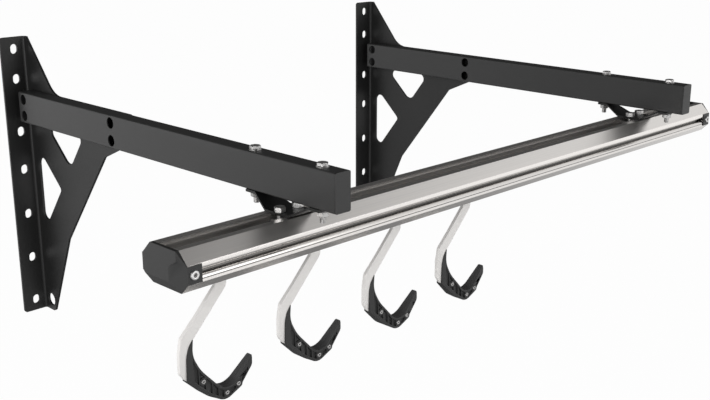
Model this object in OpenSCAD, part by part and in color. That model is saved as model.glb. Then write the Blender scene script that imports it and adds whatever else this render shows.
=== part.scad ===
// Wall-mounted bike rack: two steel wall brackets carry an aluminium rail on long arms,
// and four swivelling wheel hooks hang from trolleys that run inside the rail.
// Millimetres. The origin is the centre of the left bracket's wall face: +X runs along the
// wall towards the right bracket, -Y points out of the wall and +Z is up.

/* [Wall brackets] */
// Distance between the two brackets, two stud bays
bracket_pitch = 813; // [650:1:1000]
// Thickness of the bracket steel
sheet_t = 4; // [3:0.5:5]
// Inside radius of the bracket's bend
bend_r = 4; // [2:0.5:6]
// Width of the wall flange, bend included
flange_w = 45; // [42:1:52]
// Height of the wall flange
flange_h = 473; // [465:1:520]
// Radius of the flange's free corners
flange_corner_r = 5; // [1:0.5:9]
// Width of a wall slot
slot_w = 12; // [8:0.5:13]
// End-to-end length of a wall slot
slot_len = 16; // [14:0.5:22]
// Distance from the flange's free edge to the line of slots
slot_edge = 23; // [20:0.5:26]
// Distance from the end slots' centres to the flange's ends
slot_inset = 19.5; // [14:0.5:26]
// Spacing of the two slots above the arm
slot_pitch_top = 49; // [40:0.5:52]
// Drop from the arm's axis to the slot below the arm
slot_under_arm = 45; // [38:0.5:50]
// Spacing of the four lower slots
slot_pitch_low = 77.5; // [70:0.5:80]

/* [Gusset plates] */
// Distance from the flange's top to the arm's top face
arm_drop = 86.3; // [80:0.1:96]
// Length of the gusset's flat top edge, from the wall
web_top_len = 11.3; // [10:0.1:20]
// Distance from the wall to the foot of the upper slope
web_neck_at = 85.4; // [70:0.1:100]
// Radius where the upper slope runs out along the arm
web_neck_r = 42; // [10:1:45]
// Drop of the gusset's top edge below the arm's top face
web_step = 1.2; // [0.5:0.1:3]
// Distance from the wall to the gusset's nose
web_reach = 309; // [304:1:330]
// Height of the gusset's nose
web_nose_h = 41; // [38:1:44]
// Distance from the wall to the knee of the lower edge
web_knee_at = 227.4; // [215:0.1:240]
// Drop from the arm's top face to the knee
web_knee_drop = 78.4; // [72:0.1:90]
// Distance from the wall to the kink of the lower edge
web_kink_at = 99; // [85:0.5:110]
// Drop from the arm's top face to the kink
web_kink_drop = 240.7; // [225:0.1:255]
// Distance from the wall to the gusset's foot
web_foot_at = 33; // [30:0.5:45]
// Radius of the gusset's outer corners
web_corner_r = 8; // [3:0.5:10]
// Width of the solid strip beside the bend
wall_strip = 22; // [16:0.5:28]
// Width of the outer strut along the lower edge
outer_strut_w = 60; // [52:0.5:66]
// Width of the cross strut
cross_strut_w = 53; // [46:0.5:60]
// Slope of the cross strut below the arm
cross_angle = 42.5; // [38:0.5:46]
// Distance from the wall to the cross strut's root under the arm
cross_root_at = 10; // [4:0.5:16]
// Drop from the arm's underside to the upper window's top edge
window_drop = 4.5; // [3:0.1:8]
// Radius of the windows' outer corners
window_r = 9.5; // [5:0.5:12]
// Radius of the upper window's lower corner
window_tip_r = 16; // [8:0.5:18]
// Radius of the lower window's inner corner
window_knee_r = 6; // [4:0.5:12]
// Diameter of the hole near the gusset's foot
foot_hole_d = 22; // [12:0.5:24]
// Distance from the wall to the foot hole
foot_hole_at = 23.5; // [20:0.5:25]

/* [Arms] */
// Height of the arm tube
arm_h = 50; // [48:0.5:56]
// Width of the arm tube
arm_w = 25; // [22:0.5:30]
// Wall of the arm tube
arm_wall = 2; // [1.5:0.1:2.5]
// Outside corner radius of the arm tube
arm_corner_r = 2.5; // [1:0.1:3.5]
// Distance from the wall to the arm's inner end
arm_start = 19.2; // [12:0.1:24]
// Distance from the wall to the arm's outer end
arm_reach = 760.6; // [745:0.1:820]
// Distance from the wall to the inner pair of arm bolts
arm_bolt_near = 33.5; // [30:0.5:38]
// Distance from the wall to the outer pair of arm bolts
arm_bolt_far = 289.3; // [270:0.1:290]
// Spacing of the two bolts in a pair
arm_bolt_gap = 26.4; // [22:0.1:28]
// Diameter of the socket access holes in the arm's open side
access_d = 17; // [15.5:0.1:19]
// Thickness of the end plug's visible plate
plug_t = 2.6; // [1.5:0.1:4]
// Depth of the end plug inside the tube
plug_depth = 14; // [8:1:20]

/* [Fasteners] */
// Diameter of the frame bolts
bolt_d = 8; // [6:0.5:8.5]
// Width across the flats of the frame bolts and nuts
bolt_af = 13; // [12:0.1:14]
// Height of a frame bolt's head
bolt_head_h = 5.4; // [4:0.1:6]
// Height of a frame nut
nut_h = 7.6; // [6:0.1:8.5]
// Diameter of the flange under heads and nuts
bolt_flange_d = 16.6; // [14.5:0.1:16.8]
// Thickness of the flange under heads and nuts
bolt_flange_t = 1.6; // [1:0.1:2.2]
// Play of a bolt in its hole, on the diameter
hole_play = 0.8; // [0.4:0.1:1.2]
// Play between a nut's bore and its bolt, on the diameter
thread_play = 0.1; // [0.06:0.02:0.2]
// Length of bolt that stands out past its nut
bolt_proud = 8; // [2:0.5:12]

/* [Hangers] */
// Gap between the arm's underside and the rail's top
hanger_drop = 18.9; // [16:0.1:24]
// Thickness of the hanger strap
strap_t = 3.5; // [3:0.1:4.5]
// Spacing of the two long bolts through the arm
hanger_pitch = 123; // [118:0.5:140]
// Strap length from a long bolt to the strap's end
strap_end = 6.2; // [5:0.1:9]
// Strap length from a long bolt to the start of its leg
strap_shoulder = 12; // [10:0.5:14]
// Length of the strap's flat foot on the rail, along the arm
foot_len = 40; // [38:0.5:44]
// Width of the strap's foot, along the rail
foot_w = 41; // [38:0.5:48]
// Spacing of the two clamp bolts, along the rail
clamp_pitch = 29; // [27.5:0.5:32]
// Height of the clamp bolts' heads
clamp_head_h = 6.6; // [5:0.1:7.5]

/* [Rail] */
// Distance from the wall to the rail's centre line
rail_at = 664.7; // [655:0.1:680]
// Rail length beyond the left arm's centre line
rail_over_left = 183.4; // [175:0.1:260]
// Rail length beyond the right arm's centre line
rail_over_right = 199.8; // [150:0.1:300]
// Width of the rail
rail_w = 78.6; // [76:0.1:84]
// Height of the rail
rail_h = 50; // [49:0.5:54]
// Leg of the rail's upper bevels
rail_bevel_top = 14.9; // [12:0.1:15.5]
// Leg of the rail's lower bevels
rail_bevel_low = 12.3; // [9:0.1:13]
// General wall of the rail
rail_wall = 3; // [2.6:0.1:3.2]
// Width of the mouth of the rail's top channel
top_mouth_w = 27; // [24:0.5:30]
// Depth of the mouth of the rail's top channel
top_mouth_t = 3.4; // [2.5:0.1:4]
// Width of the throat of the rail's top channel
top_throat_w = 21; // [18:0.5:22]
// Thickness of the top channel's lips
top_lip_t = 2.5; // [2:0.1:3]
// Width inside the rail's top channel
top_chan_w = 28; // [26:0.5:30]
// Height inside the rail's top channel
top_chan_h = 6.4; // [6:0.1:7]
// Wall of the top channel
top_chan_wall = 2.2; // [1.8:0.1:2.5]
// Width of the grooves along the rail's sides
groove_w = 4; // [3:0.1:4.8]
// Depth of the grooves along the rail's sides
groove_depth = 7; // [6:0.1:7.5]
// Radius of the rounded lips beside each groove
groove_lip_r = 5; // [3:0.1:5.5]
// Width of the fine line below each groove
line_w = 0.8; // [0.4:0.1:1.2]
// Depth of the fine line below each groove
line_depth = 0.5; // [0.3:0.1:0.8]
// Width of the slot along the rail's underside
slot_mouth_w = 18; // [16:0.5:19.5]

/* [End caps] */
// Thickness of the end caps' plates
cap_t = 4.6; // [3.8:0.1:5.6]
// Thickness of the end caps where their faces have sloped away
cap_edge_t = 0.8; // [0.5:0.1:1.4]
// Place where a cap's face starts to slope, out from the rail's middle line
cap_break_at = 9; // [4:1:14]
// Length of the caps' side tabs along the rail
tab_len = 19; // [17:0.5:24]
// Thickness of the side tabs
tab_t = 1.4; // [1:0.1:2]
// Height of the side tabs
tab_h = 21.4; // [18:0.1:22.5]
// Distance from the rail's end to the cap screws
cap_screw_at = 8; // [7:0.5:10]
// Diameter of the cap screws
cap_screw_d = 5; // [4:0.1:5.5]
// Diameter of the cap screws' heads
cap_screw_head_d = 11.6; // [9:0.1:12]
// Height of the cap screws' heads
cap_screw_head_h = 2.6; // [2:0.1:3.2]
// Thickness of the ears that take the cap screws inside the rail
cap_ear_t = 5; // [4:0.1:6]

/* [Trolleys] */
// Distance from the rail's left end to the first hook's swivel
first_hook_at = 73.4; // [68:0.1:110]
// Spacing of the hooks
hook_pitch = 152.4; // [136:0.1:190]
// Length of a trolley's body
trolley_len = 62; // [60:0.5:70]
// Width of a trolley's body
trolley_w = 20; // [19:0.5:21]
// Height of a trolley's body
trolley_h = 17; // [16:0.5:18]
// Gap between the trolley's body and the rail's floor
trolley_lift = 1.5; // [1:0.1:2.5]
// Spacing of a trolley's two axles
wheelbase = 40; // [38:0.5:44]
// Diameter of a trolley wheel
wheel_d = 21; // [19:0.5:22]
// Width of a trolley wheel
wheel_w = 9; // [7:0.5:10]
// Diameter of an axle
axle_d = 6; // [5:0.1:7]
// Radial clearance of a turning fit
run_clear = 0.05; // [0.02:0.01:0.09]
// Gap kept between pieces that slide or roll past each other
slide_gap = 0.35; // [0.3:0.05:0.5]

/* [Hooks] */
// Diameter of the swivel pin
pin_d = 12; // [10:0.5:13]
// Diameter of the swivel pin's head
pin_head_d = 19; // [16:0.5:20]
// Thickness of the swivel pin's head
pin_head_h = 4.6; // [3:0.1:5.5]
// Length of the swivel pin below the rail
pin_below = 9.2; // [8:0.1:11]
// Height of the fork at the swivel pin's lower end
fork_h = 7.8; // [6:0.1:7.9]
// Thickness of the hook plate
plate_t = 5; // [4:0.1:5.6]
// Width of the hook plate's stem
stem_w = 15; // [13:0.5:16]
// Height of the stem above its bend
stem_h = 12.5; // [11:0.5:16]
// Width of the cradle across the tyre, at the bowl
cradle_w = 17; // [15:0.5:20]
// Slope of each side of the cradle towards its tip
tip_slope = 0.09; // [0.04:0.01:0.1]
// Slope of each side of the cradle towards the top of its horn
horn_slope = 0.085; // [0.04:0.005:0.085]
// Drop from the rail's underside to the inside of the cradle
hook_drop = 146; // [138:0.5:165]
// Thickness of the cradle around the edge of the plate inside it
cradle_rim = 1.8; // [1.2:0.1:2.2]
// Width of the plate that stands out behind the cradle
plate_back_w = 8.5; // [6:0.5:9.5]
// Depth of the relief in the cradle's sides
relief_t = 2.4; // [1:0.1:2.8]
// Width of the rim between the relief and the tyre's bed
relief_rim = 3; // [2.2:0.1:3.6]
// Thickness of the ribs across the relief
rib_t = 1.8; // [1.2:0.1:2.4]
// Distance between the ribs
rib_pitch = 8.8; // [7:0.1:12]
// Distance of the first rib behind the swivel axis
rib_back = 40.2; // [38:0.1:42]
// Diameter of the cradle screws
cradle_screw_d = 4; // [3:0.1:4.2]
// Diameter of the cradle screws' heads
cradle_screw_head_d = 6.4; // [6:0.1:7]
// Height of the cradle screws' heads
cradle_screw_head_h = 2; // [1.5:0.1:2.6]

/* [Hidden] */
$fn = 48;
e = 1;
// Reach of the pieces that round a corner, past its edges
corner_lap = 1.5;
// Amount by which a corner's arc crosses its edges, so that they meet cleanly
tangent_lap = 0.003;

// Colours as the photograph shows them
coat = [0.12, 0.12, 0.13];
zinc = [0.72, 0.73, 0.74];
alloy = [0.78, 0.77, 0.76];
moulded = [0.09, 0.09, 0.1];
plate_paint = [0.74, 0.72, 0.7];
nylon = [0.85, 0.84, 0.8];

// Levels and lines of the brackets and arms
flange_top = flange_h / 2;
arm_top = flange_top - arm_drop;
arm_low = arm_top - arm_h;
arm_axis = arm_top - arm_h / 2;
web_x = flange_w / 2 - sheet_t;
arm_x = web_x - arm_w / 2;
bend_out = bend_r + sheet_t;
slot_x = slot_edge - flange_w / 2;
slot_zs = [
  flange_top - slot_inset,
  flange_top - slot_inset - slot_pitch_top,
  arm_axis - slot_under_arm,
  -flange_top + slot_inset + 3 * slot_pitch_low,
  -flange_top + slot_inset + 2 * slot_pitch_low,
  -flange_top + slot_inset + slot_pitch_low,
  -flange_top + slot_inset
];
arm_bolt_at = [
  [arm_bolt_near, arm_axis - arm_bolt_gap / 2], [arm_bolt_near, arm_axis + arm_bolt_gap / 2],
  [arm_bolt_far, arm_axis - arm_bolt_gap / 2], [arm_bolt_far, arm_axis + arm_bolt_gap / 2]
];
bolt_hole_d = bolt_d + hole_play;

// Levels and lines of the hangers and the rail
rail_top = arm_low - hanger_drop;
rail_low = rail_top - rail_h;
rail_x0 = arm_x - rail_over_left;
rail_x1 = arm_x + bracket_pitch + rail_over_right;
rail_side_mid = rail_low + (rail_bevel_low + rail_h - rail_bevel_top) / 2;
foot_top = rail_top + strap_t;
strap_low = arm_low - strap_t;
throat_low = rail_top - top_mouth_t - top_lip_t;
chan_low = throat_low - top_chan_h;
clamp_plate_t = top_chan_h - 1.2;
rail_floor = rail_low + rail_wall;

// Levels of the trolleys and hooks
axle_z = rail_floor + slide_gap + wheel_d / 2;
trolley_low = rail_floor + trolley_lift;
trolley_top = trolley_low + trolley_h;
wheel_in = trolley_w / 2 + slide_gap;
axle_len = trolley_w + 2 * (slide_gap + wheel_w) + 4;
pin_low = rail_low - pin_below;
plate_top = pin_low + fork_h - 0.1;
hook_xs = [for (k = [0:3]) rail_x0 + first_hook_at + k * hook_pitch];
// All hook outlines are drawn from the swivel axis, with the height taken from this level
bowl_z = rail_low - hook_drop;

// Outline of the cradle from the side: x from the swivel axis, height over the bowl's lowest
// inner point, corner radius. It runs anticlockwise: down the back, out to the tip, then inside.
cradle_path = [
  [-44.3, 76, 0.6], [-52, 65.6, 14], [-55.2, 54, 30], [-56.1, 23.3, 2], [-31, -0.9, 50],
  [-4, -16.5, 18], [22, -4.8, 2.5], [23.1, -1.5, 2], [40.6, 16, 8], [41.9, 29.4, 0.8],
  [0.4, -9.3, 21.5], [-37.3, 33.8, 60], [-47.1, 54.5, 34]
];
cradle_screws_at = [[-35, 18.6], [-1.7, -6.4], [16.2, -0.6]];
// Margins of the relief from each edge of the outline, each from the corner before to this one
relief_margins = [
  0.5, 0.5, 0.5, 0.5, relief_rim + 2.3, relief_rim + 0.5, relief_rim - 0.6, relief_rim - 1.2,
  relief_rim - 1.4, relief_rim, relief_rim + 1.2, relief_rim, relief_rim
];
// The relief's reach behind and before the swivel axis
relief_back = 46.5;
relief_front = 33;
// Where the sides start to slope towards the tip and towards the horn, and in which direction
tip_slope_from = [12, 0];
horn_slope_from = [-25, 6.5];

// The point where two lines meet, each through a point and along a direction
function cross2(a, b) = a[0] * b[1] - a[1] * b[0];
function meet(p, u, q, v) = p + u * (cross2(q - p, v) / cross2(u, v));
function unit(v) = v / norm(v);
function left_of(v) = [-v[1], v[0]];
function xy(p) = [p[0], p[1]];

// A closed outline drawn in by one margin for each edge, for an outline that runs anticlockwise.
// The first margin belongs to the edge that closes the outline.
function inset(pts, m) = [
  for (i = [0:len(pts) - 1])
    let (
      n = len(pts),
      a = xy(pts[(i + n - 1) % n]),
      b = xy(pts[i]),
      c = xy(pts[(i + 1) % n]),
      u = unit(b - a),
      v = unit(c - b),
      p = meet(a + left_of(u) * m[i], u, c + left_of(v) * m[(i + 1) % n], v),
      turn = cross2(u, v)
    )
    [p[0], p[1], max(0.6, turn > 0 ? pts[i][2] - m[i] : pts[i][2] + m[i])]
];

// A polygon whose corners are true arcs. Each point is [x, y, radius] and the outline runs
// anticlockwise. A corner that turns left loses its tip; one that turns right starts out filled
// up to its chord, and a piece of the circle is then taken out.
module soft_polygon(pts) {
  n = len(pts);
  u = [for (i = [0:n - 1]) unit(xy(pts[i]) - xy(pts[(i + n - 1) % n]))];
  v = [for (i = [0:n - 1]) unit(xy(pts[(i + 1) % n]) - xy(pts[i]))];
  turn = [for (i = [0:n - 1]) pts[i][2] > 0 ? sign(cross2(u[i], v[i])) : 0];
  run = [for (i = [0:n - 1]) pts[i][2] * tan(acos(max(-1, min(1, u[i] * v[i]))) / 2)];
  from = [for (i = [0:n - 1]) xy(pts[i]) - u[i] * run[i]];
  to = [for (i = [0:n - 1]) xy(pts[i]) + v[i] * run[i]];
  module arc_disc(i) {
    translate(from[i] + left_of(u[i]) * turn[i] * pts[i][2]) circle(pts[i][2] + tangent_lap, $fn = 96);
  }
  // The corner's own ground, past both edges by the lap
  module corner_ground(i) {
    a = left_of(u[i]) * turn[i] * corner_lap;
    b = left_of(v[i]) * turn[i] * corner_lap;
    before = u[i] * corner_lap;
    after = v[i] * corner_lap;
    tip = xy(pts[i]) - (a + b) / (1 + u[i] * v[i]);
    if (turn[i] > 0)
      polygon([from[i], from[i] - a, tip, to[i] - b, to[i]]);
    else
      polygon([from[i] - before + a, from[i] - before - a, tip, to[i] + after - b, to[i] + after + b]);
  }
  difference() {
    polygon([for (i = [0:n - 1]) each (turn[i] < 0 ? [from[i], to[i]] : [xy(pts[i])])]);
    for (i = [0:n - 1])
      if (turn[i] > 0)
        difference() {
          corner_ground(i);
          arc_disc(i);
        }
      else if (turn[i] < 0)
        intersection() {
          arc_disc(i);
          corner_ground(i);
        }
  }
}

// A profile drawn as [distance from the wall, height], extruded along the wall from x
module side_sheet(x, t) {
  translate([x, 0, 0]) rotate([90, 0, 90]) linear_extrude(t) mirror([1, 0]) children();
}

// A profile drawn as [x, height], extruded outwards from a distance d off the wall
module front_sheet(d, t) {
  translate([0, -d, 0]) rotate([90, 0, 0]) linear_extrude(t) children();
}

// A cylinder along X
module rod_x(d, len) {
  rotate([0, 90, 0]) cylinder(d = d, h = len);
}

// A cylinder along -Y, outwards from the wall
module rod_y(d, len) {
  rotate([90, 0, 0]) cylinder(d = d, h = len);
}

// A hexagon given by its width across the flats
module hex(af, h) {
  cylinder(d = af / cos(30), h = h, $fn = 6);
}

// A vertical wall slot
module wall_slot() {
  square([slot_w, slot_len - slot_w], center = true);
  for (s = [-1, 1])
    translate([0, s * (slot_len - slot_w) / 2]) circle(d = slot_w);
}

// The gusset's outline: distance from the wall, height, corner radius
web_outline = [
  [bend_out, flange_top, 0],
  [bend_out, -flange_top, 0],
  [web_foot_at, -flange_top, web_corner_r],
  [web_kink_at, arm_top - web_kink_drop, web_corner_r],
  [web_knee_at, arm_top - web_knee_drop, web_corner_r],
  [web_reach, arm_top - web_step - web_nose_h, web_corner_r],
  [web_reach, arm_top - web_step, web_corner_r],
  [web_neck_at, arm_top - web_step, web_neck_r],
  [web_top_len, flange_top, 2]
];

// Lines that bound the gusset's windows
outer_dir = unit([web_knee_at - web_kink_at, web_kink_drop - web_knee_drop]);
outer_from = [web_kink_at, arm_top - web_kink_drop] + left_of(outer_dir) * outer_strut_w;
cross_dir = [cos(cross_angle), -sin(cross_angle)];
cross_mid = [cross_root_at, arm_low];
cross_over = cross_mid + left_of(cross_dir) * cross_strut_w / 2;
cross_under = cross_mid - left_of(cross_dir) * cross_strut_w / 2;
window_top = arm_low - window_drop;
function rounded(p, r) = [p[0], p[1], r];

// Upper window: under the arm, between the cross strut and the outer strut
upper_window = [
  rounded(meet([0, window_top], [1, 0], cross_over, cross_dir), window_r),
  rounded(meet(cross_over, cross_dir, outer_from, outer_dir), window_tip_r),
  rounded(meet([0, window_top], [1, 0], outer_from, outer_dir), window_r)
];
// Lower window: beside the bend, between the cross strut and the outer strut
lower_window = [
  rounded(meet([wall_strip, 0], [0, 1], cross_under, cross_dir), window_r + 3),
  rounded(meet([wall_strip, 0], [0, 1], outer_from, outer_dir), window_r + 2),
  rounded(meet(cross_under, cross_dir, outer_from, outer_dir), window_knee_r)
];

module bracket(x) {
  color(coat) translate([x, 0, 0]) {
    difference() {
      front_sheet(0, sheet_t) soft_polygon([
        [-flange_w / 2, -flange_top, flange_corner_r],
        [flange_w / 2 - bend_out, -flange_top, 0],
        [flange_w / 2 - bend_out, flange_top, 0],
        [-flange_w / 2, flange_top, flange_corner_r]
      ]);
      for (z = slot_zs)
        translate([slot_x, 0, z]) front_sheet(-e, sheet_t + 2 * e) wall_slot();
    }
    translate([flange_w / 2 - bend_out, -bend_out, -flange_top])
      linear_extrude(flange_h)
        intersection() {
          difference() {
            circle(bend_out);
            circle(bend_r);
          }
          square(bend_out);
        }
    difference() {
      side_sheet(web_x, sheet_t) difference() {
        soft_polygon(web_outline);
        soft_polygon(upper_window);
        soft_polygon(lower_window);
      }
      for (p = arm_bolt_at)
        translate([web_x - e, -p[0], p[1]]) rod_x(bolt_hole_d, sheet_t + 2 * e);
      translate([web_x - e, -foot_hole_at, -flange_top + slot_inset])
        rod_x(foot_hole_d, sheet_t + 2 * e);
    }
  }
}

// The arm tube's cross-section, drawn as [x, height] about its centre
module tube_outline(w, h, r) {
  soft_polygon([[-w / 2, -h / 2, r], [w / 2, -h / 2, r], [w / 2, h / 2, r], [-w / 2, h / 2, r]]);
}

module arm(x) {
  color(coat) difference() {
    translate([x + arm_x, 0, arm_axis])
      front_sheet(arm_start, arm_reach - plug_t - arm_start) difference() {
        tube_outline(arm_w, arm_h, arm_corner_r);
        tube_outline(arm_w - 2 * arm_wall, arm_h - 2 * arm_wall, max(0.4, arm_corner_r - arm_wall));
      }
    for (p = arm_bolt_at) {
      translate([x + arm_x, -p[0], p[1]]) rod_x(bolt_hole_d, arm_w);
      translate([x + arm_x - arm_w, -p[0], p[1]]) rod_x(access_d, arm_w);
    }
    for (s = [-1, 1])
      translate([x + arm_x, -rail_at + s * hanger_pitch / 2, arm_low - e])
        cylinder(d = bolt_hole_d, h = arm_h + 2 * e);
  }
}

module arm_plug(x) {
  color(moulded) translate([x + arm_x, 0, arm_axis]) {
    front_sheet(arm_reach - plug_t, plug_t) tube_outline(arm_w, arm_h, arm_corner_r);
    front_sheet(arm_reach - plug_t - plug_depth, plug_depth) difference() {
      tube_outline(arm_w - 2 * arm_wall - 0.4, arm_h - 2 * arm_wall - 0.4, 0.6);
      tube_outline(arm_w - 2 * arm_wall - 4.4, arm_h - 2 * arm_wall - 4.4, 0.6);
    }
  }
}

// A flanged hexagon bolt along +Z, its seat at z = 0 and its head above
module flanged_bolt(head_h, length) {
  hex(bolt_af, head_h);
  cylinder(d = bolt_flange_d, h = bolt_flange_t);
  translate([0, 0, -length]) cylinder(d = bolt_d, h = length + e);
}

// A flanged nut along -Z, its seat at z = 0
module flanged_nut() {
  difference() {
    union() {
      translate([0, 0, -nut_h]) hex(bolt_af, nut_h);
      translate([0, 0, -bolt_flange_t]) cylinder(d = bolt_flange_d, h = bolt_flange_t);
    }
    translate([0, 0, -nut_h - e]) cylinder(d = bolt_d + thread_play, h = nut_h + 2 * e);
  }
}

module arm_bolts(x) {
  color(zinc) for (p = arm_bolt_at)
    translate([x + web_x - arm_wall, -p[0], p[1]]) rotate([0, -90, 0])
      flanged_bolt(bolt_head_h, arm_wall + sheet_t + nut_h + bolt_proud / 4);
}

module arm_nuts(x) {
  color(zinc) for (p = arm_bolt_at)
    translate([x + web_x + sheet_t, -p[0], p[1]]) rotate([0, -90, 0]) flanged_nut();
}

// Side view of the hanger strap, drawn as [distance from the rail's centre line, height]
module strap_profile() {
  flange_end = hanger_pitch / 2 + strap_end;
  shoulder = hanger_pitch / 2 - strap_shoulder;
  lean = atan((hanger_drop - strap_t) / (shoulder - foot_len / 2));
  step = strap_t * tan(lean / 2);
  polygon([
    [-flange_end, arm_low], [-shoulder - step, arm_low], [-foot_len / 2 - step, foot_top],
    [foot_len / 2 + step, foot_top], [shoulder + step, arm_low], [flange_end, arm_low],
    [flange_end, strap_low], [shoulder, strap_low], [foot_len / 2, rail_top],
    [-foot_len / 2, rail_top], [-shoulder, strap_low], [-flange_end, strap_low]
  ]);
}

// Plan of the hanger strap, as wide as the arm at its ends and wider at its foot
module strap_plan() {
  flange_end = hanger_pitch / 2 + strap_end;
  shoulder = hanger_pitch / 2 - strap_shoulder;
  polygon([
    [-arm_w / 2, -flange_end], [arm_w / 2, -flange_end], [arm_w / 2, -shoulder],
    [foot_w / 2, -foot_len / 2 - 2], [foot_w / 2, foot_len / 2 + 2], [arm_w / 2, shoulder],
    [arm_w / 2, flange_end], [-arm_w / 2, flange_end], [-arm_w / 2, shoulder],
    [-foot_w / 2, foot_len / 2 + 2], [-foot_w / 2, -foot_len / 2 - 2], [-arm_w / 2, -shoulder]
  ]);
}

module hanger(x) {
  color(coat) difference() {
    intersection() {
      side_sheet(x + arm_x - foot_w, 2 * foot_w) translate([rail_at, 0]) strap_profile();
      translate([x + arm_x, -rail_at, rail_top - e])
        linear_extrude(hanger_drop + 2 * e) strap_plan();
    }
    for (s = [-1, 1]) {
      translate([x + arm_x, -rail_at + s * hanger_pitch / 2, strap_low - e])
        cylinder(d = bolt_hole_d, h = strap_t + 2 * e);
      translate([x + arm_x + s * clamp_pitch / 2, -rail_at, rail_top - e])
        cylinder(d = bolt_hole_d, h = strap_t + 2 * e);
    }
  }
}

module hanger_bolts() {
  color(zinc) for (x = [0, bracket_pitch], s = [-1, 1])
    translate([x + arm_x, -rail_at + s * hanger_pitch / 2, arm_top])
      flanged_bolt(bolt_head_h, arm_h + strap_t + nut_h + bolt_proud);
}

module hanger_nuts() {
  color(zinc) for (x = [0, bracket_pitch], s = [-1, 1])
    translate([x + arm_x, -rail_at + s * hanger_pitch / 2, strap_low]) flanged_nut();
}

module clamp_bolts() {
  color(zinc) for (x = [0, bracket_pitch], s = [-1, 1])
    translate([x + arm_x + s * clamp_pitch / 2, -rail_at, foot_top]) {
      hex(bolt_af, clamp_head_h);
      reach = foot_top - throat_low + clamp_plate_t;
      translate([0, 0, -reach]) cylinder(d = bolt_d, h = reach + e);
    }
}

module clamp_plates() {
  color(zinc) for (x = [0, bracket_pitch]) difference() {
    translate([x + arm_x - foot_w / 2, -rail_at - top_chan_w / 2 + 0.6, throat_low - clamp_plate_t])
      cube([foot_w, top_chan_w - 1.2, clamp_plate_t]);
    for (s = [-1, 1])
      translate([x + arm_x + s * clamp_pitch / 2, -rail_at, throat_low - clamp_plate_t - e])
        cylinder(d = bolt_d + thread_play, h = clamp_plate_t + 2 * e);
  }
}

// The rail's outer form or, with a margin, its inner form: [distance from centre line, height]
module rail_octagon(m) {
  w = rail_w / 2 - m;
  k = m * tan(22.5);
  t = rail_w / 2 - rail_bevel_top - k;
  b = rail_w / 2 - rail_bevel_low - k;
  polygon([
    [-b, rail_low + m], [b, rail_low + m], [w, rail_low + rail_bevel_low + k],
    [w, rail_top - rail_bevel_top - k], [t, rail_top - m], [-t, rail_top - m],
    [-w, rail_top - rail_bevel_top - k], [-w, rail_low + rail_bevel_low + k]
  ]);
}

// One side groove with its rounded lips, cut into the rail's right side
module groove_cut() {
  lip = groove_w / 2 + groove_lip_r;
  translate([rail_w / 2, rail_side_mid]) {
    difference() {
      translate([-groove_lip_r, -lip]) square([groove_lip_r + e, 2 * lip]);
      for (s = [-1, 1])
        translate([-groove_lip_r, s * lip]) circle(groove_lip_r);
    }
    translate([-groove_depth, -groove_w / 2]) square([groove_depth, groove_w]);
    translate([-line_depth, -lip - line_w]) square([line_depth + e, line_w]);
  }
}

module rail_profile() {
  chan_out = top_chan_w / 2 + top_chan_wall;
  backing = rail_w / 2 - groove_depth - rail_wall + 0.6;
  difference() {
    union() {
      difference() {
        rail_octagon(0);
        rail_octagon(rail_wall);
      }
      translate([-chan_out, chan_low - top_chan_wall])
        square([2 * chan_out, rail_top - chan_low + top_chan_wall - 0.5]);
      for (s = [-1, 1])
        translate([s > 0 ? backing : 0.6 - rail_w / 2, rail_side_mid - groove_w / 2 - rail_wall])
          square([rail_w / 2 - backing - 0.6, groove_w + 2 * rail_wall]);
    }
    translate([-top_mouth_w / 2, rail_top - top_mouth_t]) square([top_mouth_w, top_mouth_t + e]);
    translate([-top_throat_w / 2, throat_low - e]) square([top_throat_w, top_lip_t + 2 * e]);
    translate([-top_chan_w / 2, chan_low]) square([top_chan_w, top_chan_h]);
    translate([-slot_mouth_w / 2, rail_low - e]) square([slot_mouth_w, rail_wall + 2 * e]);
    groove_cut();
    mirror([1, 0]) groove_cut();
  }
}

module rail() {
  color(alloy) difference() {
    side_sheet(rail_x0, rail_x1 - rail_x0) translate([rail_at, 0]) rail_profile();
    for (x = [rail_x0 + cap_screw_at, rail_x1 - cap_screw_at], s = [-1, 1])
      translate([x, -rail_at + s * (rail_w / 2 + e), rail_side_mid]) rotate([s * 90, 0, 0])
        cylinder(d = cap_screw_d + 0.4, h = groove_depth + rail_wall + 2 * e);
  }
}

// What a cap loses where its face slopes, from one distance off the rail's middle line to another.
// Drawn as [x, distance], between two levels.
module cap_slope(from, to, low, high) {
  s = (cap_t - cap_edge_t) / (to - from);
  reach = rail_w / 2 + tab_t + 1;
  translate([0, -rail_at, low]) linear_extrude(high - low) mirror([0, 1]) polygon([
    [-cap_t - 1, from - 1 / s], [-cap_t + (reach - from) * s, reach], [-cap_t - 1, reach]
  ]);
}

// The three slopes of a cap's face: low on the outer side, high on the outer side, and underneath
module cap_slopes() {
  shoulder = rail_top - rail_bevel_top + 2.4;
  half = rail_w / 2;
  brow = half - rail_bevel_top;
  low_at = rail_low + rail_bevel_low - 2;
  s = (cap_t - cap_edge_t) / (low_at - rail_low);
  intersection() {
    cap_slope(cap_break_at, half, rail_low - 1, shoulder);
    side_sheet(-cap_t - 2, cap_t + 3) translate([rail_at, 0]) polygon([
      [-2, rail_low - 2], [half + 5, rail_low - 2], [half + 5, shoulder + 1],
      [brow + 1.7, shoulder + 1], [cap_break_at, shoulder - 9], [-2, shoulder - 15.4]
    ]);
  }
  cap_slope(brow, half, shoulder - 0.5, rail_top + 1);
  front_sheet(rail_at - half - 3, 2 * half + 6) polygon([
    [-cap_t - 1, low_at + 1 / s], [-cap_t - 1, rail_low - 3], [3 * s - cap_edge_t, rail_low - 3]
  ]);
}

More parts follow.
